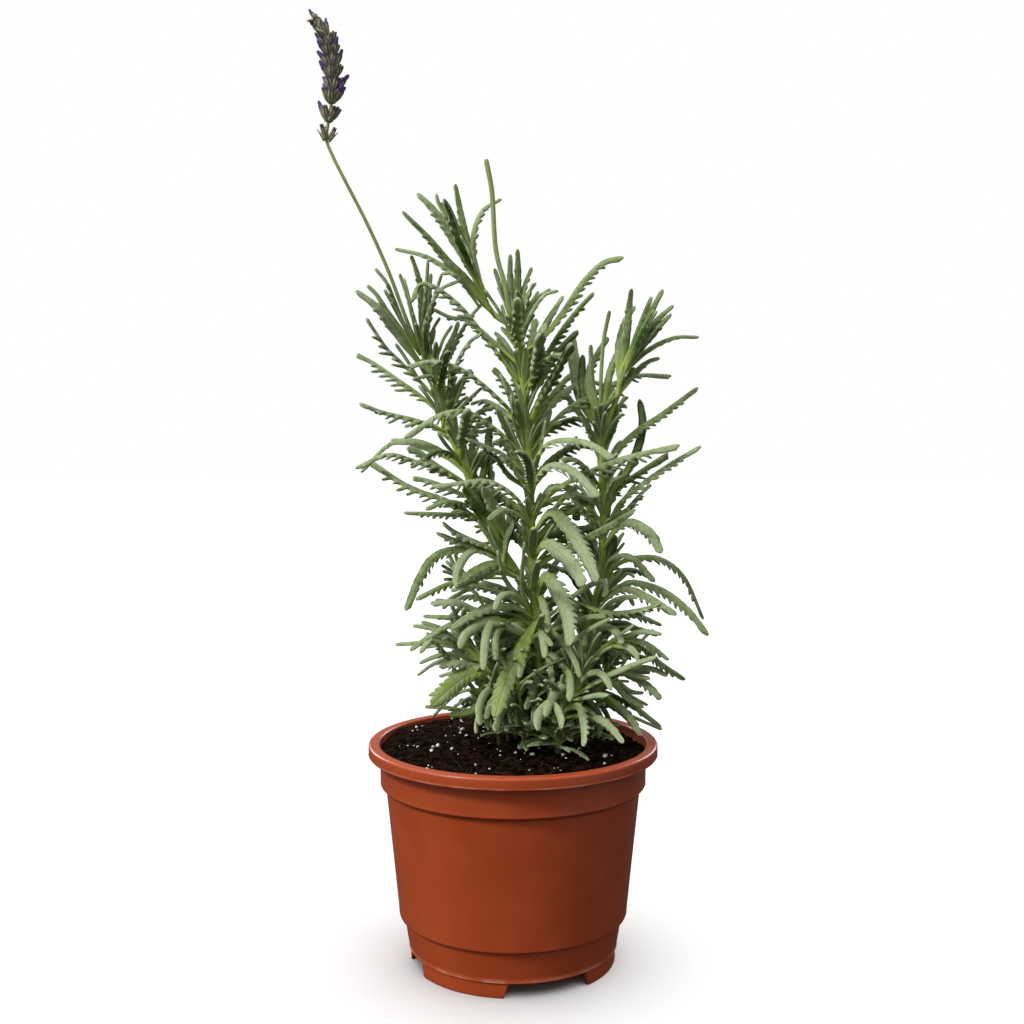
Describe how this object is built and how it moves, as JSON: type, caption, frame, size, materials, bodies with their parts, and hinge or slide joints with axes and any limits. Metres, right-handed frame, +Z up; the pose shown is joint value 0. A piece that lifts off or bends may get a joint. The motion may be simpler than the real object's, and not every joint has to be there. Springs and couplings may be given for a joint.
{
  "type": "potted lavender",
  "caption": "Toothed-leaf lavender plant with one tall flower spike, growing in a round moulded plastic nursery pot with a rolled rim and notched foot.",
  "frame": {"origin": "on the surface the pot stands on, under the pot's axis and the middle of the whole plant's box", "axes": "+Z up, along the pot's axis; -Y is the front of the plant; -X is the side that the flower spike leans to"},
  "size_m": [0.1909, 0.1463, 0.454],
  "materials": {
    "pot_plastic": "satin moulded terracotta-coloured plastic",
    "soil": "dark crumbly peat with white perlite grains",
    "stem": "matt yellow-green, finely haired",
    "leaf": "matt felted grey-green",
    "flower": "matt ribbed grey-brown calyces with violet tips"
  },
  "bodies": {
    "root": {"cut_flower_stalk": "stem", "flower_head_lower": "flower", "flower_head_tip": "flower", "flower_stalk": "stem", "flower_whorl_low": "flower", "flower_whorl_middle": "flower", "leaf_back_low": "leaf", "leaf_back_middle": "leaf", "leaf_back_upper": "leaf", "leaf_centre_arching": "leaf", "leaf_centre_drooping_1": "leaf", "leaf_centre_drooping_2": "leaf", "leaf_centre_drooping_3": "leaf", "leaf_centre_left_1": "leaf", "leaf_centre_left_2": "leaf", "leaf_centre_right_1": "leaf", "leaf_centre_right_2": "leaf", "leaf_centre_right_3": "leaf", "leaf_centre_right_4": "leaf", "leaf_centre_right_5": "leaf", "leaf_centre_top": "leaf", "leaf_centre_upper_left": "leaf", "leaf_front_broad": "leaf", "leaf_front_drooping": "leaf", "leaf_front_middle": "leaf", "leaf_front_right_long": "leaf", "leaf_left_dark": "leaf", "leaf_left_drooping": "leaf", "leaf_left_middle_1": "leaf", "leaf_left_middle_2": "leaf", "leaf_left_middle_3": "leaf", "leaf_left_middle_4": "leaf", "leaf_left_upper_1": "leaf", "leaf_left_upper_2": "leaf", "leaf_left_upper_3": "leaf", "leaf_low_left_broad": "leaf", "leaf_low_left_long": "leaf", "leaf_low_right_drooping": "leaf", "leaf_low_right_long": "leaf", "leaf_right_curled": "leaf", "leaf_right_long_1": "leaf", "leaf_right_long_2": "leaf", "leaf_right_middle": "leaf", "leaf_right_upper": "leaf", "leaf_top_left_1": "leaf", "leaf_top_left_2": "leaf", "leaf_top_right_arching": "leaf", "pot": "pot_plastic", "potting_soil": "soil", "shoot_low_left": "stem", "shoot_low_right": "stem", "shoot_top_left": "stem", "shoot_top_right": "stem", "stem_centre": "stem", "stem_front": "stem", "stem_left": "stem", "stem_right": "stem", "young_flower_stalk": "stem"}
  },
  "joints": []
}
